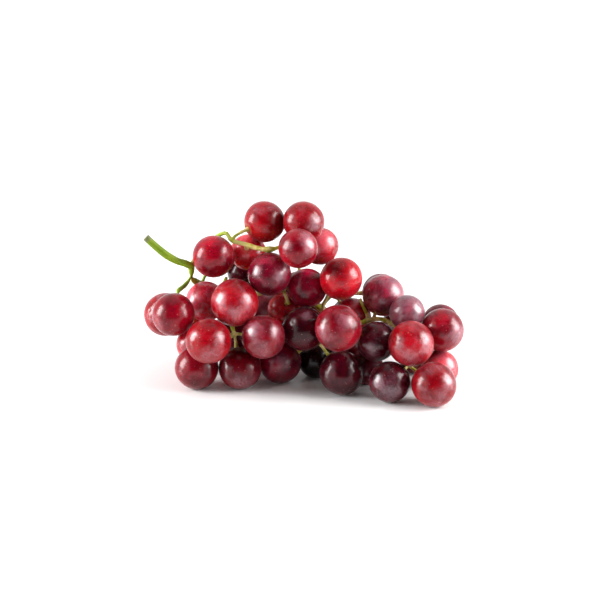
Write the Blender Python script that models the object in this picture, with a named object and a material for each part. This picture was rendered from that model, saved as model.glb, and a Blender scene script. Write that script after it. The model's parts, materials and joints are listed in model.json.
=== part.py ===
"""A bunch of round red table grapes, lying on its side on a table.

The stalk is one grown piece: the cut stem, the central axis, the side branches and the berry stalks.
Each berry is a solid of its own, with a dimple in which the end of its berry stalk sits.
The berries that touch the table are pressed a little flat, and the bunch rests on them.
Lengths are in mm up to the point where a mesh is made, and x runs to the right along the bunch,
y away from the eye that sees its front, and z up from the table.
"""

import math
import random

import bmesh
import bpy
import numpy as np
from mathutils import Vector

MM = 0.001

# Berries
CLEARANCE = 0.4  # between any two pieces
PRESSED = 0.3  # how far a resting berry is pressed flat on the table
DIMPLE_DEPTH = 1.0  # the hollow round the end of the berry stalk
SUNK = 0.5  # how far the end of the berry stalk reaches into the hollow
SCAR_DEPTH = 0.25  # the small dent opposite the berry stalk
BERRY_SEGMENTS = 14
BERRY_RINGS = 8
BERRY_COLOURS = {"red": (0.48, 0.012, 0.025), "crimson": (0.25, 0.008, 0.03), "dark": (0.08, 0.006, 0.02)}
BERRY_ROUGHNESS = 0.2
STALK_COLOUR = (0.36, 0.42, 0.08)
STALK_ROUGHNESS = 0.5

# Stalk
CUT_END_RADIUS = 2.2
STEM_RADIUS = 2.0
TIP_RADIUS = 1.1
BERRY_STALK_RADIUS = 0.85
FLARE = 2.0  # how much wider a berry stalk is at the berry
NECK = 1.15  # and just before it
SWELLING = 1.35  # how much wider a berry stalk is where it leaves its branch
SHORTEST_BERRY_STALK = 4.0
BERRY_STALK_RINGS = 4
AXIS_STEP = 4  # between the rings of the axis
FINE_STEP = 2  # between the points that the berries are kept clear of
AXIS_SIDES_LEVEL = 2  # eight sides
LIMB_SIDES_LEVEL = 1  # six sides
SHARP_EDGE = math.radians(50)

# The berries that show from the front: x, y, z of the middle, the diameter and how ripe its colour is.
SEEN_BERRIES = [
(-51, 3, 76, 24.5, "crimson"),
    (-21, 14, 94, 24, "red"),
    (2, 7, 96, 24, "red"),
    (-1, -14, 86, 22.5, "crimson"),
    (12, 22, 77, 22, "red"),
    (-31, 19, 74, 21.5, "red"),
    (-34, 32, 58, 20.5, "dark"),
    (-18, -3, 67, 25, "dark"),
    (4, 1, 57, 23, "dark"),
    (24, -9, 66, 24.5, "red"),
    (-57, 9, 47, 23.5, "crimson"),
    (-38, -12, 52, 27.5, "red"),
    (-81, 9, 38, 25.5, "red"),
    (-74, -15, 46, 24.5, "crimson"),
    (-53, -28, 34, 26, "red"),
    (-21, -22, 35, 25, "crimson"),
    (-61, -14, 12.5, 25.5, "crimson"),
    (-35, -14, 12.5, 25, "crimson"),
    (-12, -4, 12.5, 25.5, "dark"),
    (-64, 9, 19, 21.5, "red"),
    (-21, 26, 37, 20, "dark"),
    (-9, 9, 41, 20.5, "red"),
    (2, -12, 36, 26, "dark"),
    (22, -28, 42, 26.5, "crimson"),
    (31, 12, 35, 23, "crimson"),
    (50, 9, 50, 24.5, "dark"),
    (63, -9, 45, 20.5, "dark"),
    (45, -14, 28, 23, "dark"),
    (64, -29, 33, 26, "red"),
    (84, -11, 35, 25, "crimson"),
    (85, 12, 32, 21.5, "dark"),
    (83, -11, 11, 22, "red"),
    (77, -42, 12.5, 25.5, "red"),
    (52, -35, 11.5, 23.5, "dark"),
    (25, -22, 13, 25.5, "dark"),
    (9, 5, 10.5, 21.5, "dark"),
    (40, -8, 9.5, 19, "dark"),
]

# Where the stalk runs: the cut stem, then the central axis down to the bunch's tip.
AXIS_ROUTE = [
    (-91, 2, 88.5),
    (-85.5, 2, 83),
    (-78.5, 2, 77),
    (-72, 3, 73),
    (-64.5, 5, 69.5),
    (-64.5, 9, 61),
    (-60, 24, 52),
    (-48, 24, 46),
    (-34, 16, 47),
    (-21, 11, 52),
    (-9, 14, 54),
    (3, 16, 47),
    (14, 9, 40),
    (28, -1, 34),
    (41, 1, 37),
    (49, 0, 38),
    (56, -3, 35),
    (66, -5, 29),
    (75, -9, 23),
]
CUT_STEM_LENGTH = 45  # along the axis from its cut end, with no berries on it
WIDEST = 12  # the cut end narrows to the stem over this length
NARROWING = 80  # the axis narrows to its tip from here on

# The side branches that reach the berries in front: the radii at both ends and the route outwards.
FRONT_BRANCHES = {
    "shoulder": (1.4, 1, [(-64.5, 5, 69.5), (-61, 14, 75), (-54, 18, 81), (-47, 13, 87), (-43, 6.5, 89),
                          (-40, 3.5, 85.5), (-32, 1.5, 84), (-24, 0, 81.7), (-16, 0, 81.3), (-9, 4, 83),
                          (-3, 9, 82)]),
    "arch": (0.9, 0.8, [(-40, 3.5, 85.5), (-38.5, 3.5, 88.3), (-34.8, 5.5, 90.2)]),
    "left": (1.3, 1, [(-64.5, 8, 63), (-66.5, 5, 60), (-69.5, 1, 57.5), (-72, -1, 56.5)]),
    "left_low": (1.5, 1.1, [(-60, 24, 52), (-66, 24, 38), (-70, 18, 30)]),
    "upper_left": (1.3, 1, [(-48, 24, 46), (-46, 16, 55), (-44, 9, 61)]),
    "front_low": (1.5, 1.1, [(-45, 22, 46), (-43, 8, 38), (-39, -6, 31)]),
    "middle": (1.2, 1, [(-14, 12, 53.5), (-10, 4, 56), (-9, -1, 54), (-6.5, -2, 48)]),
    "middle_up": (1, 0.9, [(14, 9, 40), (14, 4, 46), (16, 0, 52)]),
    "middle_low": (1.5, 1.1, [(3, 16, 47), (6, 16, 32), (11, -4, 25)]),
    "upper_right": (1.2, 0.9, [(41, 1, 37), (40, 4, 40), (37.5, 5, 45), (36, 6, 49)]),
    "low_right": (1.5, 1.1, [(60, -4, 32.5), (61, -13, 24), (64, -20, 16)]),
}

# The branches at the back leave the axis at even steps, each turned to where it has the most room.
BACK_BRANCHES = 8
BACK_SPAN = (0.34, 0.9)  # shares of the axis where the first and the last of them leave it
BACK_LENGTHS = (24, 14)  # of the first and the last
BACK_RADII = (1.5, 1.1)
BACK_PITCHES = range(-75, 16, 15)  # degrees above the level, of the ways that are tried
BACK_TURNS = range(-45, 46, 15)  # degrees off the way straight back
BACK_ARCH = 0.12  # how far a branch arches upwards, as a share of its length
ROOM = 3  # more than this beside a branch gains it nothing
SPREAD = 20  # nor does more than this between the ends of two branches
SPREAD_WEIGHT = 0.3

# The berries at the back: their diameters and where their middles lie.
HIDDEN_DIAMETERS = (21, 24)
BERRIES_PER_BACK_BRANCH = 5
MOST_BERRIES = 59
BACK_DEPTHS = (9, 50)
BACK_STALKS = range(4, 30, 2)  # lengths from the branch's end to the berry's skin that are tried
BACK_WAYS = 260  # the ways that are tried for each
SNAP = 2  # a berry this close to the table rests on it
PULL_BACK = 0.15
PULL_DOWN = 0.1
SEED = 11

# What the eye in front sees of the back: it looks down by this angle.
EYE_TILT = math.radians(18)
PEEP = 1.5  # how far the outline of a hidden berry may show past those in front
# Where light shows through the bunch: x, and the height upwards as the eye sees it.
LIGHT_GAPS = [(-22, 77), (-16, 80), (-6, 69), (2, 70), (10, 69), (36, 53), (-46, 59), (-59, 61)]
LIGHT_GAPS += [(-48, 5), (1, 10)]  # low down, between berries that rest on the table

# How the berries settle against each other.
SETTLING_STEPS = 900
HOMING_STEPS = 500  # the first of them, in which the seen berries are drawn to their places
HOMING = 0.03
SEEN_GIVE = 0.25
HIDDEN_GIVE = 0.75
PUSH = 0.6
STEM_MARGIN = 0.2
LIFT = 1  # a berry that doesn't rest is at least this far above the table

# How a berry stalk finds its way.
BENDS = (0, 4, 8, 12)
BEND_COST = 1.6
SHORT_COST = 2
NEAREST_STARTS = 60
BEND_WAYS = 26
ROUTE_POINTS = 12
FLARED_POINTS = 3
BEND_HEIGHT = 1.5  # the least height of a bend above its own berry
END_HEIGHT = 0.8  # the height above the berry at which its stalk has to be clear of others


def unit(vector):
    return vector / np.linalg.norm(vector)


def smooth_line(points, step):
    """Points about every step mm on a Catmull-Rom curve through the given points."""
    points = np.array(points, float)
    ends = np.vstack([2 * points[0] - points[1], points, 2 * points[-1] - points[-2]])
    line = []
    for before, start, end, after in zip(ends, ends[1:], ends[2:], ends[3:]):
        pieces = max(1, round(np.linalg.norm(end - start) / step))
        for t in np.arange(pieces) / pieces:
            pull = 2 * start + (end - before) * t
            bend = (2 * before - 5 * start + 4 * end - after) * t**2
            twist = (3 * start - 3 * end + after - before) * t**3
            line.append((pull + bend + twist) / 2)
    return np.vstack([line, points[-1:]])


def run(line):
    """How far along its line each point lies."""
    steps = np.linalg.norm(np.diff(line, axis=0), axis=1)
    return np.concatenate([[0], np.cumsum(steps)])


def axis_radii(line):
    along = run(line)
    places = [0, WIDEST, NARROWING, along[-1]]
    return np.interp(along, places, [CUT_END_RADIUS, STEM_RADIUS, STEM_RADIUS, TIP_RADIUS])


def taper(line, first, last):
    return np.linspace(first, last, len(line))


def bezier(start, middle, end, count):
    t = np.linspace(0, 1, count)[:, None]
    return start * (1 - t) ** 2 + middle * (2 * t * (1 - t)) + end * t**2


def directions(count):
    """Unit vectors spread evenly over a sphere, on a golden spiral."""
    golden = math.pi * (3 - math.sqrt(5))
    heights = 1 - (2 * np.arange(count) + 1) / count
    widths = np.sqrt(1 - heights**2)
    turns = golden * np.arange(count)
    return np.column_stack([widths * np.cos(turns), widths * np.sin(turns), heights])


def arc(start, reach):
    """A short branch that leaves start, arches upwards a little and ends at start + reach."""
    rise = np.array([0, 0, BACK_ARCH * np.linalg.norm(reach)])
    return smooth_line([start, start + reach / 2 + rise, start + reach], FINE_STEP)


def back_branches(axis, berries):
    """The branches at the back. Each takes the way that keeps it furthest from berries and other branches."""
    lines = []
    for n in range(BACK_BRANCHES):
        share = n / (BACK_BRANCHES - 1)
        along = BACK_SPAN[0] + (BACK_SPAN[1] - BACK_SPAN[0]) * share
        start = axis[round(along * (len(axis) - 1))]
        length = BACK_LENGTHS[0] + (BACK_LENGTHS[1] - BACK_LENGTHS[0]) * share
        best, best_score = None, -math.inf
        for pitch in BACK_PITCHES:
            for turn in BACK_TURNS:
                level, rise = math.cos(math.radians(pitch)), math.sin(math.radians(pitch))
                aside, back = math.sin(math.radians(turn)), math.cos(math.radians(turn))
                line = arc(start, length * np.array([aside, back * level, back * rise]))
                gaps = np.linalg.norm(line[:, None] - berries[None, :, :3], axis=2) - berries[None, :, 3]
                apart = min((np.linalg.norm(line[-1] - other[-1]) for other in lines), default=SPREAD)
                score = min(gaps.min() - BACK_RADII[0], ROOM) + SPREAD_WEIGHT * min(apart, SPREAD)
                if score > best_score:
                    best, best_score = line, score
        lines.append(best)
    return {f"back_{n + 1}": (*BACK_RADII, line) for n, line in enumerate(lines)}


def out_of_sight(centre, radius, front):
    """True if the berries in front cover the outline of a berry here, and it covers no gap for light."""
    upwards = np.array([0, math.sin(EYE_TILT), math.cos(EYE_TILT)])
    height = centre @ upwards
    if min(math.hypot(centre[0] - x, height - up) for x, up in LIGHT_GAPS) < radius:
        return False
    turns = np.linspace(0, 2 * math.pi, 16, endpoint=False)
    across = centre[0] + radius * np.cos(turns)[:, None] - front[:, 0]
    along = height + radius * np.sin(turns)[:, None] - front[:, :3] @ upwards
    return (np.hypot(across, along) < front[:, 3] + PEEP).any(axis=1).all()


def clear_place(centre, radius, berries, stems):
    """True if a berry here touches no other berry and no stem."""
    to_berries = np.linalg.norm(berries[:, :3] - centre, axis=1) - berries[:, 3]
    to_stems = min((np.linalg.norm(line - centre, axis=1) - radii).min() for line, radii in stems)
    return min(to_berries.min(), to_stems) > radius + CLEARANCE


def grow_hidden_berries(berries, ends, stems, rng):
    """Packs berries round the ends of the back branches, each in the free place nearest to its end."""
    ways = directions(BACK_WAYS)
    front = berries.copy()
    for _ in range(BERRIES_PER_BACK_BRANCH):
        for end in ends:
            radius = rng.uniform(*HIDDEN_DIAMETERS) / 2
            best, best_cost = None, math.inf
            for stalk_length in BACK_STALKS:
                for way in ways:
                    centre = end + way * (radius + stalk_length)
                    if centre[2] < radius + SNAP:
                        centre[2] = radius - PRESSED
                    cost = np.linalg.norm(centre - end) - PULL_BACK * centre[1] + PULL_DOWN * centre[2]
                    if cost >= best_cost or not BACK_DEPTHS[0] < centre[1] < BACK_DEPTHS[1]:
                        continue
                    if out_of_sight(centre, radius, front) and clear_place(centre, radius, berries, stems):
                        best, best_cost = centre, cost
            if best is not None and len(berries) < MOST_BERRIES:
                berries = np.vstack([berries, [*best, radius]])
    return berries


def settle(berries, stems):
    """Pushes the berries apart, off the stems and onto the table. Those in front keep near their places."""
    seen = len(SEEN_BERRIES)
    homes = berries[:seen, :3].copy()
    give = np.where(np.arange(len(berries)) < seen, SEEN_GIVE, HIDDEN_GIVE)
    share = give[:, None] / (give[:, None] + give)
    radii = berries[:, 3]
    resting = berries[:, 2] < radii + LIFT
    spots = np.vstack([line for line, widths in stems])
    spot_radii = np.concatenate([widths for line, widths in stems])
    rows = np.arange(len(berries))
    centres = berries[:, :3]
    for step in range(SETTLING_STEPS):
        if step < HOMING_STEPS:
            centres[:seen] += HOMING * (homes - centres[:seen])
        apart = centres[:, None] - centres
        distance = np.linalg.norm(apart, axis=2) + np.eye(len(berries))
        lack = np.clip(radii[:, None] + radii + CLEARANCE - distance, 0, None)
        np.fill_diagonal(lack, 0)
        centres += PUSH * (apart * (lack * share / distance)[:, :, None]).sum(axis=1)
        away = centres[:, None] - spots
        distance = np.linalg.norm(away, axis=2)
        lack = np.clip(radii[:, None] + spot_radii + CLEARANCE + STEM_MARGIN - distance, 0, None)
        deepest = lack.argmax(axis=1)
        centres += away[rows, deepest] * (lack / distance)[rows, deepest][:, None]
        centres[:, 2] = np.where(resting, radii - PRESSED, np.maximum(centres[:, 2], radii + LIFT))
    return berries


def berry_stalk_route(index, berries, starts):
    """The shortest clear way from a branch to a berry: its start, its bend and the berry's axis."""
    centre, radius = berries[index, :3], berries[index, 3]
    others = np.delete(berries, index, axis=0)
    ways = directions(BEND_WAYS)
    flared = np.arange(ROUTE_POINTS) >= ROUTE_POINTS - FLARED_POINTS
    thickness = BERRY_STALK_RADIUS * np.where(flared, FLARE, SWELLING) + CLEARANCE
    nearest = starts[np.argsort(np.linalg.norm(starts - centre, axis=1))[:NEAREST_STARTS]]
    best, best_cost = None, math.inf
    for bend in BENDS:
        for start in nearest:
            span = np.linalg.norm(start - centre) - radius
            cost = span + BEND_COST * bend + SHORT_COST * max(0, SHORTEST_BERRY_STALK - span)
            if cost >= best_cost:
                continue
            for way in ways if bend else ways[:1]:
                middle = (start + centre + unit(start - centre) * radius) / 2 + way * bend
                if np.linalg.norm(middle - centre) < radius + BEND_HEIGHT:
                    continue
                axis = unit(middle - centre)
                route = bezier(start, middle, centre + axis * (radius + END_HEIGHT), ROUTE_POINTS)
                to_others = np.linalg.norm(route[:, None] - others[:, :3], axis=2) - others[:, 3]
                to_own = np.linalg.norm(route[:-1] - centre, axis=1) - radius
                free = (to_others.min(axis=1) > thickness).all() and to_own.min() > END_HEIGHT
                if free and route[:, 2].min() > 2 * BERRY_STALK_RADIUS:
                    best, best_cost = (start, middle, axis), cost
                    break
    return best


def material(name, colour, roughness):
    made = bpy.data.materials.new(name)
    made.use_nodes = True
    surface = made.node_tree.nodes["Principled BSDF"]
    surface.inputs["Base Color"].default_value = (*colour, 1)
    surface.inputs["Roughness"].default_value = roughness
    surface.inputs["Metallic"].default_value = 0
    return made


def smooth(mesh):
    mesh.shade_smooth()
    mesh.set_sharp_from_angle(angle=SHARP_EDGE)


def tube(name, line, radii, sides_level):
    """A closed mesh tube along a line, made from a bevelled curve."""
    curve = bpy.data.curves.new(name, "CURVE")
    curve.dimensions = "3D"
    curve.bevel_depth = MM
    curve.bevel_resolution = sides_level
    curve.use_fill_caps = True
    spline = curve.splines.new("POLY")
    spline.points.add(len(line) - 1)
    for knot, point, radius in zip(spline.points, line, radii):
        knot.co = (*(point * MM), 1)
        knot.radius = radius
    guide = bpy.data.objects.new(name + "_line", curve)
    bpy.context.scene.collection.objects.link(guide)
    bpy.context.view_layer.update()
    graph = bpy.context.evaluated_depsgraph_get()
    mesh = bpy.data.meshes.new_from_object(guide.evaluated_get(graph))
    bpy.data.objects.remove(guide)
    shape = bmesh.new()
    shape.from_mesh(mesh)
    bmesh.ops.remove_doubles(shape, verts=shape.verts, dist=0.01 * MM)
    bmesh.ops.recalc_face_normals(shape, faces=shape.faces)
    shape.to_mesh(mesh)
    shape.free()
    return bpy.data.objects.new(name, mesh)


def berry(name, centre, radius, axis, skin):
    """One berry: a round body with its axis turned to its stalk, dimpled there, and flat where it rests."""
    bpy.ops.mesh.primitive_uv_sphere_add(segments=BERRY_SEGMENTS, ring_count=BERRY_RINGS, radius=radius * MM)
    body = bpy.context.object
    body.name = name
    body.data.name = name
    body.location = Vector(centre) * MM
    body.rotation_euler = Vector(axis).to_track_quat("Z", "Y").to_euler()
    bpy.context.view_layer.update()
    shape = bmesh.new()
    shape.from_mesh(body.data)
    max(shape.verts, key=lambda vertex: vertex.co.z).co.z -= DIMPLE_DEPTH * MM
    min(shape.verts, key=lambda vertex: vertex.co.z).co.z += SCAR_DEPTH * MM
    to_berry = body.matrix_world.inverted()
    table = to_berry @ Vector((centre[0] * MM, centre[1] * MM, 0))
    upwards = to_berry.to_3x3() @ Vector((0, 0, 1))
    whole = shape.verts[:] + shape.edges[:] + shape.faces[:]
    cut = bmesh.ops.bisect_plane(shape, geom=whole, plane_co=table, plane_no=upwards, clear_inner=True)
    rim = [edge for edge in cut["geom_cut"] if isinstance(edge, bmesh.types.BMEdge)]
    if rim:
        bmesh.ops.edgeloop_fill(shape, edges=rim)
    bmesh.ops.recalc_face_normals(shape, faces=shape.faces)
    shape.to_mesh(body.data)
    shape.free()
    smooth(body.data)
    body.data.materials.append(skin)
    return body


def stalk(branches, berry_stalks, bark):
    """The cut stem, axis, branches and berry stalks, joined in one body."""
    axis = smooth_line(AXIS_ROUTE, AXIS_STEP)
    body = tube("stalk", axis, axis_radii(axis), AXIS_SIDES_LEVEL)
    bpy.context.scene.collection.objects.link(body)
    limbs = bpy.data.collections.new("limbs")
    bpy.context.scene.collection.children.link(limbs)
    for name, (first, last, line) in branches.items():
        line = np.vstack([line[:-1:2], line[-1]])
        limbs.objects.link(tube(name, line, taper(line, first, last), LIMB_SIDES_LEVEL))
    widths = BERRY_STALK_RADIUS * np.array([SWELLING, 1, NECK, FLARE])
    for number, line in enumerate(berry_stalks):
        limbs.objects.link(tube(f"berry_stalk_{number + 1}", line, widths, LIMB_SIDES_LEVEL))
    join = body.modifiers.new("join", "BOOLEAN")
    join.operation = "UNION"
    join.operand_type = "COLLECTION"
    join.collection = limbs
    join.solver = "EXACT"
    bpy.context.view_layer.objects.active = body
    bpy.ops.object.modifier_apply(modifier=join.name)
    for limb in list(limbs.objects):
        bpy.data.objects.remove(limb)
    bpy.data.collections.remove(limbs)
    smooth(body.data)
    body.data.materials.clear()
    body.data.materials.append(bark)
    return body


def gather(name, pieces):
    """Puts the pieces in a collection and on an empty, which sets the middle of their box over the origin."""
    bunch = bpy.data.collections.new(name)
    bpy.context.scene.collection.children.link(bunch)
    middle = bpy.data.objects.new(name, None)
    bunch.objects.link(middle)
    bpy.context.view_layer.update()
    corners = []
    for piece in pieces:
        corners += [piece.matrix_world @ Vector(corner) for corner in piece.bound_box]
        for collection in piece.users_collection:
            collection.objects.unlink(piece)
        bunch.objects.link(piece)
        piece.parent = middle
    corners = np.array(corners)
    offset = -(corners.min(axis=0) + corners.max(axis=0)) / 2
    middle.location = (offset[0], offset[1], 0)
    print("moved by", (offset[:2] / MM).round(2), "mm")


def build():
    for thing in list(bpy.data.objects):
        bpy.data.objects.remove(thing)
    axis = smooth_line(AXIS_ROUTE, FINE_STEP)
    berries = np.array([(x, y, z, diameter / 2) for x, y, z, diameter, tone in SEEN_BERRIES])
    branches = {}
    for name, (first, last, route) in FRONT_BRANCHES.items():
        branches[name] = (first, last, smooth_line(route, FINE_STEP))
    branches |= back_branches(axis, berries)
    stems = [(axis, axis_radii(axis))]
    stems += [(line, taper(line, first, last)) for first, last, line in branches.values()]
    back_ends = [line[-1] for name, (first, last, line) in branches.items() if name.startswith("back")]
    berries = settle(berries, stems)
    rng = random.Random(SEED)
    berries = grow_hidden_berries(berries, back_ends, stems, rng)
    berries = settle(berries, stems)

    starts = [axis[run(axis) > CUT_STEM_LENGTH]]
    starts += [line[2:] for first, last, line in branches.values()]
    starts = np.vstack(starts)
    skins = {}
    for tone, colour in BERRY_COLOURS.items():
        skins[tone] = material("berry_" + tone, colour, BERRY_ROUGHNESS)
    bark = material("stalk_green", STALK_COLOUR, STALK_ROUGHNESS)
    tones = [tone for *_, tone in SEEN_BERRIES]
    tones += rng.choices(list(BERRY_COLOURS), k=len(berries) - len(tones))
    berry_stalks = []
    pieces = []
    for index, (x, y, z, radius) in enumerate(berries):
        start, bend, way = berry_stalk_route(index, berries, starts)
        end = np.array([x, y, z]) + way * (radius - SUNK)
        berry_stalks.append(bezier(start, bend, end, BERRY_STALK_RINGS))
        pieces.append(berry(f"berry_{index + 1:02d}", (x, y, z), radius, way, skins[tones[index]]))
    pieces.append(stalk(branches, berry_stalks, bark))
    gather("bunch_of_grapes", pieces)
    print(len(berries), "berries")


build()
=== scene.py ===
# %% [markdown]
# # A bunch of round red grapes
# This lesson dresses the solid model of a bunch of grapes, so that it looks like the real one. The solid
# model gives every berry and the stalk its size and its place. What is missing is what makes fruit look
# like fruit: skins that touch and press each other flat, wax that has been rubbed off in places, small
# pale dots, flesh that glows where light comes through it, and a stalk with knots and a dull brown cut
# end. Each step below adds one of these. Lengths are in metres where no comment says otherwise. The bunch
# lies along X with its front towards -Y.

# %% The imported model
import json
import math
import random

import bmesh
import bpy
import numpy as np
from mathutils import Matrix, Vector, noise

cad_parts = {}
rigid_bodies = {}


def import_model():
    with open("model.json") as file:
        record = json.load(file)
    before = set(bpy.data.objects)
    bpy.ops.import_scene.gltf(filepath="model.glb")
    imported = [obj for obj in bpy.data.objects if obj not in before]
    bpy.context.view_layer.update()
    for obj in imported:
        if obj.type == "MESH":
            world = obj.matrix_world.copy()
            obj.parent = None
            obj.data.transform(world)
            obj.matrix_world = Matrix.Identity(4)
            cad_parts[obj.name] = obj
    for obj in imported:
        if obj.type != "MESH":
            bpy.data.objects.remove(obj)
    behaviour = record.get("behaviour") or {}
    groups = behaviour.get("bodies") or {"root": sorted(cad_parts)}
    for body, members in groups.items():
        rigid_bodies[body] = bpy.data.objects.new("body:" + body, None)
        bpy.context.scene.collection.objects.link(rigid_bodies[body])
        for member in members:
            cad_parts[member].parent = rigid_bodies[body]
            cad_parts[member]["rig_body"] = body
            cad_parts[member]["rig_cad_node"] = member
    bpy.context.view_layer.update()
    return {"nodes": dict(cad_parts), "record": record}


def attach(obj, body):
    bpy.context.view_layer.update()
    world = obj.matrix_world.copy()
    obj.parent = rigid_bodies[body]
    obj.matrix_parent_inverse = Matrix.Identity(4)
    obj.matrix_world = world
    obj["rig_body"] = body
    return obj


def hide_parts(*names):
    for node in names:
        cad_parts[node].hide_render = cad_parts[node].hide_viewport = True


MM = 0.001
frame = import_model()

# %% [markdown]
# ## Camera
# The photograph was taken from a little above the fruit, with a long lens: the berries in front are
# hardly larger than those behind. A camera on a level circle round the bunch, raised by 18 degrees and
# 0.9 m away, shows the same outline. It is placed with sines and cosines, so that each number stays
# readable.

# %% Camera
EYE_HEIGHT = math.radians(18)
EYE_DISTANCE = 0.9
AIM = Vector((-0.00121, -0.00221, 0.05))
LENS = 90.9  # mm
SENSOR_WIDTH = 36  # mm

camera_data = bpy.data.cameras.new("camera")
camera_data.lens = LENS
camera_data.sensor_width = SENSOR_WIDTH
camera = bpy.data.objects.new("camera", camera_data)
bpy.context.scene.collection.objects.link(camera)
camera.location = AIM + EYE_DISTANCE * Vector((0, -math.cos(EYE_HEIGHT), math.sin(EYE_HEIGHT)))
camera.rotation_euler = (math.pi / 2 - EYE_HEIGHT, 0, 0)
bpy.context.scene.camera = camera
bpy.context.scene.view_settings.view_transform = "Standard"
print("camera at", [round(value, 3) for value in camera.location])

# %% [markdown]
# ## Node trees
# Every material is a tree of nodes, and so is the light of the room. They could be put together by hand
# in the Shader Editor. In code each node takes several lines, so a few helpers do what repeats: one adds
# a node and links every value that is a socket, and two stand for the kinds of node that are used most.

# %% Helpers for node trees
def new_material(name, finish):
    """A material with the given values on its Principled shader, its node tree and that shader."""
    made = bpy.data.materials.new(name)
    made.use_nodes = True
    shader = made.node_tree.nodes["Principled BSDF"]
    for label, value in finish.items():
        shader.inputs[label].default_value = value
    return made, made.node_tree, shader


def add_node(tree, kind, settings=None, **values):
    """A node with the given settings and socket values. A value that is a socket is linked."""
    node = tree.nodes.new(kind)
    for label, value in (settings or {}).items():
        setattr(node, label, value)
    for label, value in values.items():
        socket = node.inputs[int(label[1:])] if label[0] == "_" else node.inputs[label.replace("_", " ")]
        if isinstance(value, bpy.types.NodeSocket):
            tree.links.new(value, socket)
        else:
            socket.default_value = value
    return node


def calculate(tree, operation, first, second=0.0, clamp=False):
    """The result of a Math node."""
    settings = {"operation": operation, "use_clamp": clamp}
    return add_node(tree, "ShaderNodeMath", settings, _0=first, _1=second).outputs[0]


def remap(tree, value, low, high, new_low=0.0, new_high=1.0):
    """A value eased from one range to another."""
    node = add_node(tree, "ShaderNodeMapRange", {"interpolation_type": "SMOOTHSTEP"}, Value=value,
                    From_Min=low, From_Max=high, To_Min=new_low, To_Max=new_high)
    return node.outputs["Result"]


# %% [markdown]
# ## Table and light
# In the photo the bunch lies on a white, slightly glossy table in front of a white wall, and both are so
# bright that they melt together. Here a round white table stands in a room that the camera sees as plain
# white. What the berries mirror is another matter. The middle of each one is deep red, since the room is
# dark behind the camera, and the sides are pale, since it is bright there. So the room's brightness
# depends on the direction, and two softboxes at the left and right add the pair of soft highlights that
# every berry shows.

# %% Table
TABLE_RADIUS = 0.42
TABLE_CORNERS = 96
WHITE_FINISH = {"Base Color": (0.92, 0.92, 0.92, 1), "Roughness": 0.32, "Specular IOR Level": 0.35}

bpy.ops.object.select_all(action="DESELECT")
bpy.ops.mesh.primitive_circle_add(
    vertices=TABLE_CORNERS, radius=TABLE_RADIUS, fill_type="NGON", location=(0, 0, 0))
floor = bpy.context.object
floor.name = "floor"
floor.data.materials.append(new_material("white_table", WHITE_FINISH)[0])
print("table", TABLE_RADIUS * 2, "m across")

# %% Softboxes
SOFTBOXES = {  # name: (direction, distance, width, height, power), in metres and watts
    "softbox_left": ((-0.96, -0.08, 0.3), 1.05, 0.46, 0.64, 17),
    "softbox_right": ((0.93, -0.08, 0.42), 1.15, 0.78, 0.86, 24),
}

for name, (direction, distance, width, height, power) in SOFTBOXES.items():
    lamp = bpy.data.lights.new(name, "AREA")
    lamp.shape = "RECTANGLE"
    lamp.size = width
    lamp.size_y = height
    lamp.energy = power
    box = bpy.data.objects.new(name, lamp)
    bpy.context.scene.collection.objects.link(box)
    away = Vector(direction).normalized()
    box.location = AIM + away * distance
    box.rotation_euler = away.to_track_quat("Z", "Y").to_euler()
print(len(SOFTBOXES), "softboxes")

# %% Room: bright at the sides, dark behind the camera
ROOM_DARK = 0.03
SIDE_BRIGHT = 2.0
BACK_BRIGHT = 0.9  # behind the bunch
TOP_BRIGHT = 0.8
SHEET_BRIGHT = 1.1  # below, as if a white sheet went on past the table
EYE_BRIGHT = 1.1  # what the camera itself sees, bright enough to be plain white

world = bpy.data.worlds.new("room")
bpy.context.scene.world = world
world.use_nodes = True
room = world.node_tree
ray = add_node(room, "ShaderNodeSeparateXYZ",
               Vector=add_node(room, "ShaderNodeTexCoord").outputs["Generated"])
sideways = calculate(room, "ABSOLUTE", ray.outputs["X"])
eye_ray = add_node(room, "ShaderNodeLightPath").outputs["Is Camera Ray"]
brightness = ROOM_DARK
for value, low, high, bright in (  # where the value goes from low to high, the new brightness takes over
        (sideways, 0.5, 0.75, SIDE_BRIGHT),
        (ray.outputs["Y"], -0.15, 0.3, BACK_BRIGHT),
        (ray.outputs["Z"], 0.88, 1.0, TOP_BRIGHT),
        (ray.outputs["Z"], 0.03, -0.05, SHEET_BRIGHT),
        (eye_ray, 0.4, 0.6, EYE_BRIGHT)):
    factor = remap(room, value, low, high)
    brightness = add_node(room, "ShaderNodeMix", Factor=factor, A=brightness, B=bright).outputs["Result"]
background = room.nodes["Background"]
background.inputs["Color"].default_value = (1, 1, 1, 1)
room.links.new(brightness, background.inputs["Strength"])
print("room from", ROOM_DARK, "to", SIDE_BRIGHT)

# %% [markdown]
# ## Where the berries are
# Each berry of the solid model is a faceted ball with a hollow for its stalk. To put a fine berry in its
# place, the ball that fits its points best is worked out: for points p on a ball, |p|^2 is a linear
# function of p, so ordinary least squares finds the middle and the radius. Points in the hollow or on the
# flat spot don't fit the ball, so they are dropped and the fit is made again. The hollow tells which way
# the berry stalk comes in.

# %% Fit a ball to each berry
FIT_ROUNDS = 4
ALLOWED_STRAY = 0.05 * MM  # a point that is off the ball by less than this is always kept


def points_of(thing):
    """The points of a mesh, one in each row."""
    found = np.empty(len(thing.data.vertices) * 3)
    thing.data.vertices.foreach_get("co", found)
    return found.reshape(-1, 3)


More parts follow.
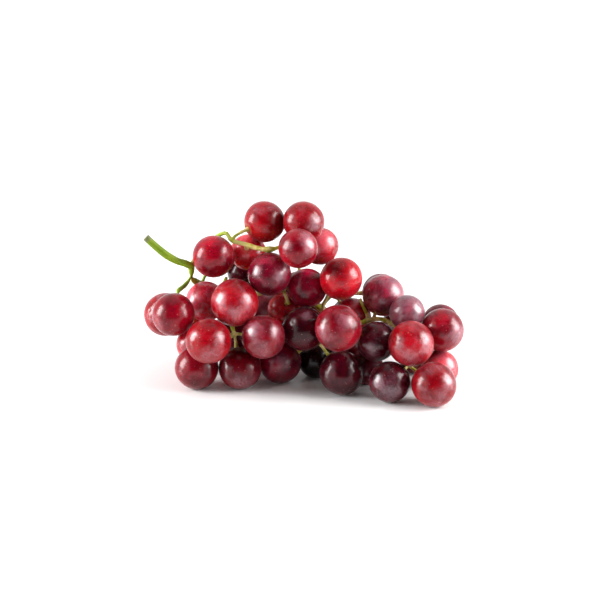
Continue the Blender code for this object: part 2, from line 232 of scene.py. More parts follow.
def fit_ball(points):
    """The middle and radius of the ball that the points lie on, without those that stray from it."""
    kept = points
    for _ in range(FIT_ROUNDS):
        rows = np.column_stack([2 * kept, np.ones(len(kept))])
        answer = np.linalg.lstsq(rows, (kept**2).sum(axis=1), rcond=None)[0]
        middle = answer[:3]
        radius = math.sqrt(answer[3] + middle @ middle)
        strays = np.abs(np.linalg.norm(points - middle, axis=1) - radius)
        kept = points[strays < max(ALLOWED_STRAY, np.median(strays) * 2)]
    return middle, radius


berries = {}
for name, solid in sorted(frame["nodes"].items()):
    if name.startswith("berry"):
        points = points_of(solid)
        middle, radius = fit_ball(points)
        reach = np.linalg.norm(points - middle, axis=1)
        hollow = points[reach.argmin()] - middle
        berries[name] = (middle, radius, hollow / np.linalg.norm(hollow))
widths = [2 * radius / MM for middle, radius, way in berries.values()]
print(len(berries), "berries,", round(min(widths), 1), "to", round(max(widths), 1), "mm across")

# %% [markdown]
# ## One berry
# A grape is almost a ball. It is a little sunken where its stalk goes in, with a soft swelling round
# that, and at the other end it has a small dry scar where the flower was. One berry of radius 1 is
# modelled from a UV sphere, whose two poles lie just where the stalk and the scar belong. Moving a pole
# with proportional editing pulls the skin round it along smoothly, as a finger would.

# %% Model the berry that all others are copied from
SEGMENTS = 56
RINGS = 40
PULLS = [  # (pole, height past which points are taken, move along the axis, reach of the pull), in radii
    (1, 0.994, -0.04, 0.2),  # the hollow at the stalk
    (-1, 0.998, -0.02, 0.16),  # the dent at the scar
    (-1, 0.9, -0.008, 0.05),  # the flatter end round the scar
]

bpy.ops.object.select_all(action="DESELECT")
bpy.ops.mesh.primitive_uv_sphere_add(segments=SEGMENTS, ring_count=RINGS, radius=1, location=(0, 0, 0))
pattern_berry = bpy.context.object
pattern_berry.name = "pattern_berry"
for pole, height, move, reach in PULLS:
    bpy.ops.object.mode_set(mode="EDIT")
    bpy.ops.mesh.select_mode(type="VERT")
    bpy.ops.mesh.select_all(action="DESELECT")
    shape = bmesh.from_edit_mesh(pattern_berry.data)
    for point in shape.verts:
        point.select = point.co.z * pole > height
    shape.select_flush(True)
    bmesh.update_edit_mesh(pattern_berry.data)
    bpy.ops.transform.translate(value=(0, 0, pole * move), use_proportional_edit=True,
                                proportional_edit_falloff="SMOOTH", proportional_size=reach)
    bpy.ops.object.mode_set(mode="OBJECT")
unit_points = points_of(pattern_berry)
print("berry:", len(pattern_berry.data.polygons), "faces, axis", unit_points[:, 2].min().round(3), "to",
      unit_points[:, 2].max().round(3))

# %% [markdown]
# ## Berries that press on each other
# Ripe berries press on each other and on the table, and are flat where they do. A simulation of soft
# bodies could find the flat spots, but slowly. Here each copy is puffed up slightly, and where it would
# pass into its neighbour or the table, its skin is moved back to the plane halfway between them. A smooth
# minimum does it: it leaves no crease round the spot.

# %% Move the skins back to where they meet
PUFF = 0.28 * MM  # the solids are kept 0.4 mm apart, and real berries touch
TOUCH_GAP = 0.03 * MM
SOFTNESS = 0.12 * MM  # how gently a skin bends at the rim of a pressed spot
RESTING_HEIGHT = 1 * MM  # a berry whose underside is lower than this lies on the table


def smooth_min(values):
    """Close to values where they are negative, and close to zero where they are positive."""
    return (values - np.sqrt(values**2 + SOFTNESS**2)) / 2


def settle(points, middle, name):
    """The points of a puffed berry, moved back from its neighbours and the table."""
    radius = berries[name][1] + PUFF
    for other, (place, size, way) in berries.items():
        apart = place - middle
        distance = np.linalg.norm(apart)
        if other == name or distance > radius + size + 2 * PUFF:
            continue
        toward = apart / distance
        halfway = radius + (distance - radius - size - PUFF) / 2 - TOUCH_GAP / 2
        over = (points - middle) @ toward - halfway
        points = points + (smooth_min(over) - over)[:, None] * toward
    if middle[2] < radius + RESTING_HEIGHT:
        points[:, 2] = -smooth_min(-points[:, 2])
    return points


print("touching skins are", TOUCH_GAP / MM, "mm apart")

# %% [markdown]
# ## Fifty-seven berries
# Every berry is a copy of the first one, turned so that its hollow meets its stalk, and no two are quite
# alike: each is a little longer or shorter than it is wide and has a few shallow bumps. Three things
# about each point are stored for the materials: its place on its own berry, its place along the axis from
# scar to stalk, and how far it faces up.

# %% Copy, turn and vary the berries
BUMPS = 0.012  # of the radius
BUMP_SIZE = 1.1
DRIFT = 50  # how far the berries are spread in the noises, so that no two get the same pattern
LONGER = (-0.015, 0.03)  # the least and the most, of the length


def store(thing, label, values):
    """Writes a number or a vector for each point of a mesh, which its material reads by the label."""
    kind, key = ("FLOAT_VECTOR", "vector") if values.ndim == 2 else ("FLOAT", "value")
    layer = thing.data.attributes.new(label, kind, "POINT")
    layer.data.foreach_set(key, values.ravel())


def place_berry(name, seed):
    """A copy of the berry in its place, with its own shape."""
    middle, radius, way = berries[name]
    rng = random.Random(seed)
    piece = pattern_berry.copy()
    piece.data = pattern_berry.data.copy()
    piece.name = piece.data.name = name.replace("berry", "grape")
    bpy.context.scene.collection.objects.link(piece)
    drift = Vector([rng.uniform(-DRIFT, DRIFT) for _ in range(3)])
    lumps = np.array([noise.noise(Vector(point) * BUMP_SIZE + drift) for point in unit_points])
    longer = rng.uniform(*LONGER)
    shaped = unit_points * (1 + BUMPS * lumps)[:, None] * [1 - longer / 2, 1 - longer / 2, 1 + longer]
    spin = Matrix.Rotation(rng.uniform(0, math.tau), 3, "Z")
    turn = np.array(Vector(way).to_track_quat("Z", "Y").to_matrix() @ spin)
    points = settle(shaped @ turn.T * (radius + PUFF) + middle, middle, name)
    piece.data.vertices.foreach_set("co", points.ravel())
    store(piece, "own_place", unit_points + np.array(drift))
    store(piece, "along_axis", unit_points[:, 2])
    store(piece, "upper_side", (unit_points @ turn.T)[:, 2])
    return piece


grapes = {name: place_berry(name, seed) for seed, name in enumerate(berries)}
bpy.data.objects.remove(pattern_berry)
print(len(grapes), "grapes,", sum(len(grape.data.polygons) for grape in grapes.values()), "faces")

# %% [markdown]
# ## How ripe each berry is, with painted light and shade
# A bunch never ripens evenly. In the photo some berries are bright red and let the light through, others
# are crimson or almost black, and some keep more of their pale wax than others. Each berry gets two
# numbers of its own: how bright it is compared with the others of its kind, and how much wax is left on
# it. The berries in front are sorted into levels of each, by comparing them with the photo, and
# those behind draw theirs at random. The berries in front also get patches of wax and brighter and darker
# spots, each given by its place on the berry, its size and its strength. All is stored on the meshes, so
# three materials do for all berries.
# The brightness and the spots were matched to how each berry looks where it lies, so besides ripeness they
# hold painted light and shade.

# %% Levels of brightness and of wax
# Besides ripeness, these levels hold painted shade and painted light: berry 36, deep among the others, is
# almost black, and the highest levels partly make up for shade.
BRIGHTNESS = {  # level: the berries that have it
    0.1: [36], 0.5: [33], 0.6: [2, 3, 13, 15, 18], 0.7: [7, 29], 0.8: [5, 10, 12, 17, 23, 24, 32, 34, 35],
    0.95: [14, 16, 20, 28], 1.05: [4, 6], 1.2: [22, 30], 1.4: [1], 1.8: [27, 37], 2.3: [25, 31],
    2.7: [8, 11, 19], 3.8: [9, 21, 26],
}
WAX = {  # level: the berries that have it
    0: [7, 8, 9, 14, 23, 35, 36], 0.2: [1, 2, 4, 10, 15, 17, 18, 19], 0.4: [3, 24, 30, 31],
    0.5: [6, 12, 16, 28, 29, 33, 34], 0.7: [5, 13, 20, 25, 32, 37], 1: [11, 22, 26], 1.5: [21, 27],
}
HIDDEN_BRIGHTNESS = (0.6, 1.1)  # the least and the most of a berry at the back
HIDDEN_WAX = (0.2, 0.7)


def level_of(number, levels, otherwise):
    """The level that a berry is sorted into, or the other value if it is in none."""
    return next((level for level, numbers in levels.items() if number in numbers), otherwise)


print(sum(map(len, BRIGHTNESS.values())), "berries on", len(BRIGHTNESS), "levels of brightness")

# %% Patches of wax, and spots of tone and of painted light and shade
WAX_PATCHES = {  # number: (to the right, up, size, amount), in radii
    1: [(0.6, 0.2, 0.35, 0.8), (-0.4, -0.45, 0.4, 0.3)], 2: [(-0.3, 0.45, 0.45, 0.7), (0.3, 0.6, 0.4, 0.5)],
    3: [(0.5, -0.1, 0.4, 0.9)], 4: [(0.4, 0.5, 0.4, 1.6), (0.55, 0, 0.35, 1.2), (-0.5, 0.1, 0.3, 0.8)],
    5: [(0, 0.2, 0.6, 1.6)], 6: [(0, 0.2, 0.7, 1.2)], 8: [(-0.6, 0.1, 0.35, 1), (0.55, -0.05, 0.4, 2.4)],
    10: [(0.65, 0.25, 0.35, 0.5)], 11: [(-0.55, 0.1, 0.35, 1)],
    12: [(0, -0.65, 0.6, 0.9), (0.55, 0.1, 0.4, 1), (-0.6, 0.1, 0.35, 0.9)],
    14: [(-0.7, 0, 0.35, 0.6), (-0.6, -0.5, 0.4, 0.7)],
    15: [(0.6, 0, 0.45, 0.9), (0, -0.65, 0.6, 0.7), (-0.6, 0.2, 0.35, 0.9)],
    16: [(-0.5, 0.3, 0.4, 1.6), (0.6, 0.2, 0.35, 1), (0, -0.65, 0.55, 0.5)], 17: [(0, -0.7, 0.4, 0.4)],
    18: [(0.1, -0.6, 0.5, 1)], 19: [(0.1, 0, 0.4, 1)], 23: [(0.1, 0.6, 0.35, 1.4)],
    24: [(0.3, 0.3, 0.35, 1.4), (-0.75, 0, 0.3, 1.2), (-0.3, -0.7, 0.4, 0.3)],
    26: [(0.75, 0.2, 0.4, 0.9), (-0.5, 0, 0.3, 0.6)], 28: [(-0.3, -0.4, 0.4, 1)],
    29: [(0, -0.75, 0.5, 0.9), (0.6, 0, 0.4, 0.8), (-0.6, 0, 0.3, 0.6)], 30: [(0.65, -0.2, 0.45, 1.2)],
    32: [(0, 0.1, 0.7, 2)], 33: [(0, -0.6, 0.5, 0.7), (0.6, 0.2, 0.3, 0.8)],
    34: [(-0.65, 0, 0.3, 0.8), (0, -0.5, 0.5, 0.8)],
}
# These spots are partly the berry's own tone and partly painted light and shade: darker bottoms and sides
# where the berry lies in shade, darker middles where it mirrors the dark room, brighter bottoms where light
# shines through from the table, and large bright spots that light up the face turned to the camera.
SPOTS_OF_TONE_AND_PAINTED_LIGHT = {  # number: (to the right, up, size, factor), in radii
    1: [(0, 0.6, 0.4, 1.4), (0, -0.75, 0.5, 0.4), (0.65, -0.4, 0.4, 0.4)],
    2: [(-0.4, -0.4, 0.5, 1.3), (0.6, -0.1, 0.5, 0.5)], 3: [(-0.2, 0.3, 0.4, 1.3), (0.5, -0.1, 0.4, 0.6)],
    4: [(-0.1, -0.7, 0.4, 0.7), (0, 0.2, 0.3, 0.7)], 5: [(-0.2, -0.6, 0.4, 0.8), (0, 0.2, 0.8, 1.7)],
    6: [(-0.3, 0, 1, 2.8)], 8: [(-0.1, 0.6, 0.4, 1.6), (0, -0.2, 0.35, 0.5), (0, -0.85, 0.5, 0.4)],
    9: [(0, 0.75, 0.4, 2), (-0.2, -0.5, 0.6, 0.5)], 10: [(0.1, -0.55, 0.55, 1.6), (-0.2, 0.4, 0.4, 0.5)],
    11: [(0, 0, 0.35, 0.6)], 12: [(0, 0.15, 0.3, 1.1), (0, -0.6, 0.5, 1.2)], 14: [(0.1, 0.1, 0.5, 1.2)],
    15: [(0, 0.2, 0.35, 1.3)], 17: [(0, -0.7, 0.5, 0.7)], 19: [(0.75, 0, 0.5, 0.3), (0, -0.8, 0.5, 0.4)],
    22: [(0, 0, 1, 2.2)], 23: [(0, 0.1, 0.4, 0.7)], 24: [(0.4, -0.5, 0.4, 1.6), (-0.4, -0.7, 0.4, 0.7)],
    26: [(-0.1, 0.3, 0.7, 2.2), (0.1, -0.65, 0.5, 0.4), (0.7, 0.2, 0.4, 0.4)], 27: [(0.1, 0.2, 0.25, 1.8)],
    29: [(0, 0.1, 0.45, 1.3)], 30: [(-0.4, 0.2, 0.4, 1.3), (0.6, -0.3, 0.5, 0.6)], 32: [(0, 0.1, 0.8, 2.2)],
    33: [(-0.4, 0.7, 0.4, 0.6), (-0.1, 0.1, 0.3, 1.3)], 34: [(0, 0.5, 0.5, 0.7)],
}
print(sum(map(len, WAX_PATCHES.values())), "patches,", sum(map(len, SPOTS_OF_TONE_AND_PAINTED_LIGHT.values())), "spots")

# %% Store brightness and wax on every berry
FRONT = np.array([0, -math.cos(EYE_HEIGHT), math.sin(EYE_HEIGHT)])
UP = np.array([0, math.sin(EYE_HEIGHT), math.cos(EYE_HEIGHT)])


def nearness(ways, right, up, size):
    """How near each way from the middle of a berry is to a place on its front, as the camera sees it."""
    spot = np.array([right, 0, 0]) + up * UP + math.sqrt(max(0, 1 - right**2 - up**2)) * FRONT
    return np.exp(-((ways - spot) ** 2).sum(axis=1) / size**2)


for name, grape in grapes.items():
    number = int(name[-2:])
    rng = random.Random(number)
    ways = (points_of(grape) - berries[name][0]) / berries[name][1]
    brightness = np.full(len(ways), float(level_of(number, BRIGHTNESS, rng.uniform(*HIDDEN_BRIGHTNESS))))
    wax = np.full(len(ways), float(level_of(number, WAX, rng.uniform(*HIDDEN_WAX))))
    for right, up, size, amount in WAX_PATCHES.get(number, []):
        wax += amount * nearness(ways, right, up, size)
    # the spots lay painted light and shade, with some tone of the berry's own, on its brightness
    for right, up, size, factor in SPOTS_OF_TONE_AND_PAINTED_LIGHT.get(number, []):
        brightness *= 1 + (factor - 1) * nearness(ways, right, up, size)
    store(grape, "brightness", brightness)
    store(grape, "wax", wax)
print("brightness and wax stored on", len(grapes), "grapes")

# %% [markdown]
# ## Wax
# Wax grows on the skin as a thin whitish film, and handling rubs it off. It lies in cloudy patches with
# fine streaks across them. Two noises make it: a large one for the patches, and a stretched fine one for
# the streaks. Every berry material uses it, so it is a node group, which is built once. It puts out a
# mask. Where it is high, the materials lay a rough coat over the skin, which shines in a soft whitish
# way, and mix a little mauve into the colour. Wax as paint alone would hide the red instead of veiling
# it.

# %% A helper for node groups, and the wax group
PATCH_SCALE = 1.5  # noise cells in a berry's radius
STREAK_SCALE = (7, 7, 2.4)
STREAK_TURN = (0.4, 0.9, 0.2)
WAX_SHARE = 0.3  # how strongly the berry's own amount of wax widens its patches
WAX_EDGE = (0.58, 0.86)  # where the film begins, and where it is whole
STREAK_DEPTH = (0.25, 0.75, 0.4, 1.05)  # from the noise's values to a factor on the film


def new_group(name, inputs, outputs):
    """An empty node group with the given inputs, as (name, kind, value), and names of outputs."""
    group = bpy.data.node_groups.new(name, "ShaderNodeTree")
    for label, kind, value in inputs:
        socket = group.interface.new_socket(label, in_out="INPUT", socket_type=kind)
        if value is not None:
            socket.default_value = value
    for label in outputs:
        group.interface.new_socket(label, in_out="OUTPUT", socket_type="NodeSocketFloat")
    return group, group.nodes.new("NodeGroupInput"), group.nodes.new("NodeGroupOutput")


wax_group, given, result = new_group(
    "rubbed_wax", [("Place", "NodeSocketVector", None), ("Amount", "NodeSocketFloat", 0.5)], ["Mask"])
patches = add_node(wax_group, "ShaderNodeTexNoise", Vector=given.outputs["Place"], Scale=PATCH_SCALE,
                   Detail=3.0, Roughness=0.55, Distortion=0.6)
streak_place = add_node(wax_group, "ShaderNodeMapping", Vector=given.outputs["Place"],
                        Rotation=STREAK_TURN, Scale=STREAK_SCALE)
streaks = add_node(wax_group, "ShaderNodeTexNoise", Vector=streak_place.outputs[0], Scale=1.0, Detail=4.0,
                   Roughness=0.65, Distortion=0.4)
cloud = calculate(wax_group, "ADD", patches.outputs["Fac"],
                  calculate(wax_group, "MULTIPLY", given.outputs["Amount"], WAX_SHARE))
mask = calculate(wax_group, "MULTIPLY", remap(wax_group, cloud, *WAX_EDGE),
                 remap(wax_group, streaks.outputs["Fac"], *STREAK_DEPTH))
wax_group.links.new(mask, result.inputs["Mask"])
print("wax group:", len(wax_group.nodes), "nodes")

# %% [markdown]
# ## Dots and scar
# The skin of a grape is sprinkled with tiny pale pores, less than half a millimetre wide and two or three
# millimetres apart, and the flower scar is a dry brown spot at the free end. A Voronoi texture gives the
# distance to scattered points, and a narrow step on it makes the pores. The scar is a step on the place
# along the axis, and so is the ring of brownish skin round the stalk.

# %% The group for dots and scar
PORE_SCALE = 6.0  # cells in a berry's radius
PORE_SIZES = (0.4, 0.7, 0.07, 0.24)  # from the noise's values to a pore's radius, in cells
RAGGED = 0.006  # how uneven the edges of the scar and the ring are, in radii
SCAR_EDGE = (-0.99, -0.982)
RING_EDGE = (0.93, 0.975)

skin_group, given, result = new_group(
    "pores_and_scar", [("Place", "NodeSocketVector", None), ("Along Axis", "NodeSocketFloat", 0.0)],
    ["Pores", "Scar", "Ring"])
cells = add_node(skin_group, "ShaderNodeTexVoronoi", Vector=given.outputs["Place"], Scale=PORE_SCALE,
                 Randomness=1.0)
shown = add_node(skin_group, "ShaderNodeTexNoise", Vector=given.outputs["Place"], Scale=9.0, Detail=1.0)
size = remap(skin_group, shown.outputs["Fac"], *PORE_SIZES)
depth = calculate(skin_group, "DIVIDE", cells.outputs["Distance"], size)
pores = calculate(skin_group, "SUBTRACT", 1.0, depth, clamp=True)
ragged = calculate(skin_group, "ADD", given.outputs["Along Axis"],
                   calculate(skin_group, "MULTIPLY", shown.outputs["Fac"], RAGGED))
skin_group.links.new(pores, result.inputs["Pores"])
skin_group.links.new(remap(skin_group, ragged, *SCAR_EDGE, 1.0, 0.0), result.inputs["Scar"])
skin_group.links.new(remap(skin_group, ragged, *RING_EDGE), result.inputs["Ring"])
print("pores group:", len(skin_group.nodes), "nodes")

# %% [markdown]
# ## Berry skins
# A grape is clear jelly in a coloured skin: light enters, scatters in the flesh and comes out red.
# Subsurface scattering does this, with red travelling furthest. Over it lies the glossy skin, and over
# that the wax. The colour wanders between two tones on each berry, turns yellowish brown round the stalk,
# and follows the brightness stored on the berry, with its painted light and shade. On the underside it is
# painted paler and more orange, as painted light for light shining through from the table. The three
# materials differ only in their values, so one function builds them.

# %% The colour of a skin
TONE_RANGE = (0.38, 0.66)  # of the noises that change the paler tone to the deeper one
VEINS_IN_TONE = 0.35
# The underside is painted paler and more orange: painted light, standing for light shining through from the
# white table.
UNDERSIDE_PAINTED_GLOW = (0.1, -0.9, 0.0, 0.5)  # from how far a point faces up to how much of the third tone it has
FLECKS = (0.46, 0.66, 1.08, 0.5)  # from the noise's values to a factor on the colour


def mix_colour(tree, factor, first, second):
    """A colour between two others, each of them a socket or three numbers."""
    node = add_node(tree, "ShaderNodeMix", {"data_type": "RGBA"}, Factor=factor)
    for socket, value in zip((node.inputs[6], node.inputs[7]), (first, second)):
        if isinstance(value, bpy.types.NodeSocket):
            tree.links.new(value, socket)
        else:
            socket.default_value = (*value, 1)
    return node.outputs[2]


def attribute(tree, name, output="Fac"):
    """What is stored on the mesh under this name."""
    return add_node(tree, "ShaderNodeAttribute", {"attribute_name": name}).outputs[output]


def skin_colour(tree, place, upper, veins, pale, deep, painted_underside_glow):
    """The colour of skin and flesh, with painted through-light on the underside, before marks and wax lie
    over it.
    """
    tones = add_node(tree, "ShaderNodeTexNoise", Vector=place, Scale=1.2, Detail=3.0, Roughness=0.5)
    tone = calculate(tree, "ADD", tones.outputs["Fac"],
                     calculate(tree, "MULTIPLY", calculate(tree, "SUBTRACT", veins, 0.5), VEINS_IN_TONE))
    colour = mix_colour(tree, remap(tree, tone, *TONE_RANGE), pale, deep)
    # painted light: the underside takes the paler, more orange tone
    colour = mix_colour(tree, remap(tree, upper, *UNDERSIDE_PAINTED_GLOW), colour, painted_underside_glow)
    flecks = add_node(tree, "ShaderNodeTexNoise", Vector=place, Scale=20.0, Detail=2.0, Roughness=0.6)
    # the stored brightness carries the painted light and shade of the spots as well as ripeness
    scale = calculate(tree, "MULTIPLY", attribute(tree, "brightness"),
                      remap(tree, flecks.outputs["Fac"], *FLECKS))
    return add_node(tree, "ShaderNodeVectorMath", {"operation": "SCALE"}, _0=colour, Scale=scale).outputs[0]


# %% How thick the wax is
WAX_LEFT = (-0.8, 0.2, 0.4, 0.8)  # less is left on the underside, which rubs against other berries


def wax_thickness(tree, place, upper):
    """The thickness of the wax, from 0 to 1: the cloudy mask, by how much this berry has kept."""
    film = tree.nodes.new("ShaderNodeGroup")
    film.node_tree = wax_group
    tree.links.new(place, film.inputs["Place"])
    tree.links.new(attribute(tree, "wax"), film.inputs["Amount"])
    left = calculate(tree, "MULTIPLY", attribute(tree, "wax"), remap(tree, upper, *WAX_LEFT))
    thick = calculate(tree, "MULTIPLY", film.outputs["Mask"], left)
    return calculate(tree, "MINIMUM", thick, 1.0)


# %% A function that builds a berry material
SKIN_FINISH = {
    "Subsurface Radius": (1.0, 0.12, 0.1), "Subsurface Scale": 0.004, "IOR": 1.37,
    "Sheen Weight": 0.1, "Sheen Roughness": 0.3, "Sheen Tint": (1, 0.8, 0.88, 1),
    "Coat Roughness": 0.28, "Coat IOR": 1.65,
}
SKIN_ROUGHNESS = 0.2
WAX_ROUGHNESS = 0.2  # added where the wax is thickest
SCAR_ROUGHNESS = 0.4  # added on the scar
WAX_COLOUR = (0.7, 0.3, 0.42)
WAX_COVER = 0.2  # of the skin's colour, where the wax is thickest
STALK_END_COLOUR = (0.3, 0.1, 0.03)
STALK_END_COVER = 0.4
PORE_COLOUR = (0.75, 0.36, 0.3)
PORE_COVER = 0.4
SCAR_COLOUR = (0.16, 0.07, 0.04)
PORE_HEIGHT = 0.5  # beside the height of the veins


def berry_skin(name, pale, deep, painted_underside_glow, glow):
    """A berry material with its two tones, the tone painted on its underside as light shining through, and
    how much it glows.
    """
    made, tree, shader = new_material(name, {**SKIN_FINISH, "Subsurface Weight": glow})
    shader.subsurface_method = "RANDOM_WALK"
    place = attribute(tree, "own_place", "Vector")
    upper = attribute(tree, "upper_side")
    veins = add_node(tree, "ShaderNodeTexNoise", Vector=place, Scale=9.0, Detail=5.0,
                     Roughness=0.7).outputs["Fac"]
    marks = tree.nodes.new("ShaderNodeGroup")
    marks.node_tree = skin_group
    tree.links.new(place, marks.inputs["Place"])
    tree.links.new(attribute(tree, "along_axis"), marks.inputs["Along Axis"])
    pores, scar, ring = (marks.outputs[label] for label in ("Pores", "Scar", "Ring"))
    thick = wax_thickness(tree, place, upper)

    colour = skin_colour(tree, place, upper, veins, pale, deep, painted_underside_glow)
    colour = mix_colour(tree, calculate(tree, "MULTIPLY", ring, STALK_END_COVER), colour, STALK_END_COLOUR)
    colour = mix_colour(tree, calculate(tree, "MULTIPLY", thick, WAX_COVER), colour, WAX_COLOUR)
    colour = mix_colour(tree, calculate(tree, "MULTIPLY", pores, PORE_COVER), colour, PORE_COLOUR)
    colour = mix_colour(tree, scar, colour, SCAR_COLOUR)
    tree.links.new(colour, shader.inputs["Base Color"])

    tree.links.new(thick, shader.inputs["Coat Weight"])
    rough = calculate(tree, "ADD", calculate(tree, "MULTIPLY", thick, WAX_ROUGHNESS), SKIN_ROUGHNESS)
    rough = calculate(tree, "ADD", rough, calculate(tree, "MULTIPLY", scar, SCAR_ROUGHNESS), clamp=True)
    tree.links.new(rough, shader.inputs["Roughness"])
    height = calculate(tree, "ADD", veins, calculate(tree, "MULTIPLY", pores, PORE_HEIGHT))
    bump = add_node(tree, "ShaderNodeBump", Strength=0.12, Distance=0.2 * MM, Height=height)
    tree.links.new(bump.outputs["Normal"], shader.inputs["Normal"])
    return made


# %% The three berry skins
TONES = {  # the paler tone, the deeper tone, the underside's tone with painted through-light, the glow
    "berry_red": ((0.5, 0.002, 0.01), (0.3, 0.001, 0.008), (0.5, 0.005, 0.008), 0.6),
    "berry_crimson": ((0.26, 0.001, 0.01), (0.13, 0.001, 0.007), (0.26, 0.002, 0.006), 0.5),
    "berry_dark": ((0.09, 0.001, 0.008), (0.03, 0.001, 0.004), (0.09, 0.001, 0.004), 0.4),
}

skins = {name: berry_skin(name, *tones) for name, tones in TONES.items()}
slot_of = {row["node"]: row["material_slot"] for row in frame["record"]["subparts"]}
for name, grape in grapes.items():
    grape.data.materials.clear()
    grape.data.materials.append(skins[slot_of[name]])
    grape.data.shade_smooth()
    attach(grape, "root")
    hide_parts(name)
print(len(skins), "skins on", len(grapes), "grapes")

# %% [markdown]
# ## Stalk
# The stalk of the solid model has the right course and thickness, but its limbs are six-sided and meet at
# sharp corners. On a real one they flow into each other and thicken to a knot where they fork. A voxel
# remesh of a copy joins all of it to one even skin, and smoothing rounds the corners. Smoothing also
# makes it thinner, so it is puffed up again, and then the knots, the fine ridges and the flat cut are
# added.

# %% Copy and round the stalk
VOXEL = 0.39 * MM
SMOOTHING = 8
SMOOTHING_FACTOR = 0.6
SAME_POINT = 0.01 * MM  # points of the copy that are closer than this are merged

bpy.ops.object.select_all(action="DESELECT")
stalk = frame["nodes"]["stalk"].copy()
stalk.data = frame["nodes"]["stalk"].data.copy()
stalk.name = stalk.data.name = "grape_stalk"
stalk.parent = None
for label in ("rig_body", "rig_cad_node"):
    del stalk[label]
bpy.context.scene.collection.objects.link(stalk)
bpy.context.view_layer.objects.active = stalk
stalk.select_set(True)
bpy.ops.object.mode_set(mode="EDIT")
bpy.ops.mesh.select_all(action="SELECT")
bpy.ops.mesh.remove_doubles(threshold=SAME_POINT)
bpy.ops.object.mode_set(mode="OBJECT")
stalk.data.remesh_voxel_size = VOXEL
bpy.ops.object.voxel_remesh()
rounding = stalk.modifiers.new("rounding", "SMOOTH")
rounding.factor = SMOOTHING_FACTOR
rounding.iterations = SMOOTHING
bpy.ops.object.modifier_apply(modifier=rounding.name)
print("stalk:", len(stalk.data.polygons), "faces")

# %% Knots, ridges and wrinkles
LOST_THICKNESS = 0.08  # mm, by the smoothing
WRINKLE_DEPTH = 0.09  # mm
WRINKLE_SCALE = [0.9, 2.2, 2.2]  # they run along the stalk, which lies along X for most of its length
SHIFT = np.array([-1.21, -2.21, 0])  # from the place where the stalk was drawn to its place here, in mm
KNOTS = [  # (place, size, swelling, darkening), sizes and swellings in mm
    ((-80, -1, 77), 9, 0.4, 0), ((-66, 4, 69.5), 4, 0.3, 0), ((-62, 9, 62), 4.5, -1.6, 0),
    ((-28, 1, 82.5), 9, 0.35, 0), ((-60, 24, 52), 3, 0.4, 1), ((-48, 24, 46), 2.5, 0.4, 1),
    ((-14, 12, 53.5), 2.5, 0.4, 1), ((3, 16, 47), 2.5, 0.4, 1), ((14, 9, 40), 2.5, 0.4, 1),
    ((41, 1, 37), 2.5, 0.4, 1), ((60, -4, 32.5), 2.5, 0.4, 1), ((-40, 3.5, 85.5), 2.2, 0.4, 1),
    ((-18, 0, 81.4), 2.8, 0.9, 1), ((-72, -1, 56.5), 2, 0.3, 0), ((-69, 0, 60), 4.5, 0.4, 1.5),
    # the three on the next line don't swell the stalk; they only darken it in patches
    ((-35, 2, 88), 5.5, 0, 1.6), ((-46, 3, 89), 5.5, 0, 1.4), ((-9, 1, 81), 3, 0, 1),
]

points = points_of(stalk) / MM - SHIFT
normals = np.empty(len(points) * 3)
stalk.data.vertex_normals.foreach_get("vector", normals)
normals = normals.reshape(-1, 3)
knot = np.zeros(len(points))
growth = np.full(len(points), LOST_THICKNESS)
for place, size, swelling, darkening in KNOTS:
    near = np.exp(-(((points - place) ** 2).sum(axis=1)) / size**2)
    knot = np.maximum(knot, darkening * near)
    growth += swelling * near
for number, point in enumerate(points):
    growth[number] += WRINKLE_DEPTH * noise.fractal(Vector(point * WRINKLE_SCALE), 1.0, 2.0, 3)
points += normals * growth[:, None]
stalk.data.vertices.foreach_set("co", ((points + SHIFT) * MM).ravel())
store(stalk, "knot", knot)
print(len(KNOTS), "knots, thickest growth", round(growth.max(), 2), "mm")

# %% The flat cut
CUT_PLACE = Vector((-91.75, -0.21, 88.05)) * MM
CUT_DIRECTION = Vector((-5.5, 0, 5.5)).normalized()

bpy.ops.object.mode_set(mode="EDIT")
bpy.ops.mesh.select_all(action="SELECT")
bpy.ops.mesh.bisect(plane_co=CUT_PLACE, plane_no=CUT_DIRECTION, use_fill=True, clear_outer=True)
bpy.ops.object.mode_set(mode="OBJECT")
print("cut at", [round(value / MM, 1) for value in CUT_PLACE])

# %% [markdown]
# ## Colour of the stalk
# A fresh stalk is yellow-green, greener at the cut stem and paler further in, with brown pores and
# brownish knots. The pale inner stalks and the brighter green at the fork are partly their own colour and
# partly painted light, which lifts them out of the shade of the berries. The end of each berry stalk is a
# reddish ring, and the cut has dried to a dull brown.
# Two of these marks follow the shape, so they are measured on the mesh and stored: how near a point is to
# a berry, and how near to the cut.

# %% Measure what is near a berry and near the cut
BERRY_REACH = 3 * MM
CUT_REACH = 5 * MM

points = points_of(stalk)
to_berry = np.full(len(points), np.inf)
for middle, radius, way in berries.values():
    to_berry = np.minimum(to_berry, np.linalg.norm(points - middle - way * radius, axis=1))
to_cut = np.linalg.norm(points - np.array(CUT_PLACE), axis=1)
store(stalk, "near_berry", np.clip(1 - to_berry / BERRY_REACH, 0, 1))
store(stalk, "near_cut", np.clip(1 - to_cut / CUT_REACH, 0, 1))
print("near a berry:", int((to_berry < BERRY_REACH).sum()), "points")

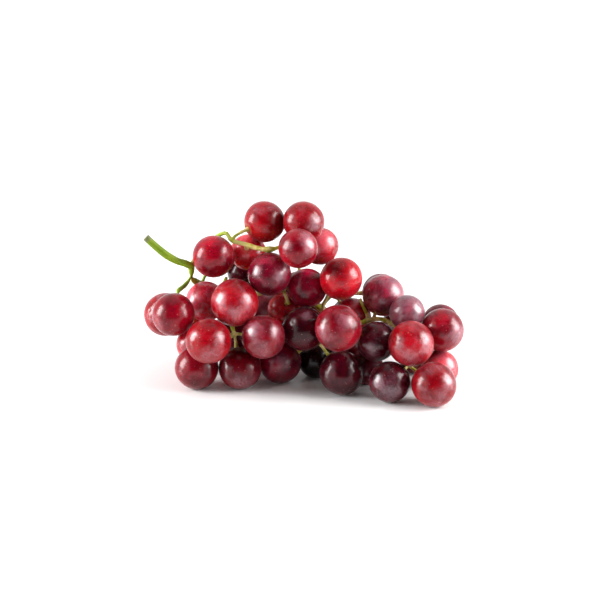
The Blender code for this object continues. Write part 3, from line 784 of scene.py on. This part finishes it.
# %% Stalk material
BARK_FINISH = {"Specular IOR Level": 0.25, "Subsurface Weight": 0.3, "Subsurface Radius": (0.7, 1.0, 0.2),
               "Subsurface Scale": 0.0012}
STEM_GREENS = ((0.17, 0.26, 0.004), (0.24, 0.33, 0.008))
# the pale inner stalks: partly their own colour, partly painted light against the shade between berries
INNER_TONES_AND_PAINTED_LIGHT = ((0.9, 0.7, 0.3), (0.45, 0.4, 0.035))
# the fork: partly its own green, partly painted light that lifts it out of the shade of the berries
FORK_GREEN_AND_PAINTED_LIGHT = (0.27, 0.42, 0.025)
CUT_STEM_GREEN = (0.12, 0.2, 0.01)
KNOT_BROWN = (0.12, 0.14, 0.015)
PORE_BROWN = (0.2, 0.15, 0.03)
RING_RED = (0.36, 0.12, 0.06)
CUT_BROWN = (0.15, 0.15, 0.075)

bark, tree, shader = new_material("stalk_green", BARK_FINISH)
place = add_node(tree, "ShaderNodeTexCoord").outputs["Object"]
blotches = add_node(tree, "ShaderNodeTexNoise", Vector=place, Scale=90.0, Detail=3.0).outputs["Fac"]
patchy = add_node(tree, "ShaderNodeTexNoise", Vector=place, Scale=160.0, Detail=2.0).outputs["Fac"]
grain = add_node(tree, "ShaderNodeTexNoise", Vector=place, Scale=700.0, Detail=4.0,
                 Roughness=0.6).outputs["Fac"]
inward = add_node(tree, "ShaderNodeSeparateXYZ", Vector=place).outputs["X"]
inner_and_painted_light = mix_colour(tree, remap(tree, patchy, 0.42, 0.62), *INNER_TONES_AND_PAINTED_LIGHT)
colour = mix_colour(tree, remap(tree, blotches, 0.35, 0.65), *STEM_GREENS)
for factor, other in (  # each colour lies over those before it, as far as its factor says
        # the first and the third layer are partly painted light against the shade of the berries
        (remap(tree, inward, -0.08, -0.07, 0.0, 0.8), FORK_GREEN_AND_PAINTED_LIGHT),
        (remap(tree, inward, -0.075, -0.088, 0.0, 0.35), CUT_STEM_GREEN),
        (remap(tree, inward, -0.055, -0.035, 0.0, 0.9), inner_and_painted_light),
        (calculate(tree, "MULTIPLY", attribute(tree, "knot"), 0.55, clamp=True), KNOT_BROWN),
        (remap(tree, grain, 0.6, 0.75, 0.0, 0.35), PORE_BROWN),
        (remap(tree, attribute(tree, "near_berry"), 0.2, 0.9, 0.0, 0.6), RING_RED),
        (remap(tree, attribute(tree, "near_cut"), 0.15, 0.55, 0.0, 0.9), CUT_BROWN)):
    colour = mix_colour(tree, factor, colour, other)
tree.links.new(colour, shader.inputs["Base Color"])
tree.links.new(remap(tree, grain, 0.3, 0.7, 0.38, 0.6), shader.inputs["Roughness"])
bump = add_node(tree, "ShaderNodeBump", Strength=0.35, Distance=0.2 * MM, Height=grain)
tree.links.new(bump.outputs["Normal"], shader.inputs["Normal"])
print("stalk material:", len(tree.nodes), "nodes")

# %% Dress the stalk
stalk.data.materials.clear()
stalk.data.materials.append(bark)
stalk.data.shade_smooth()
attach(stalk, "root")
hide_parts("stalk")
print("stalk dressed")
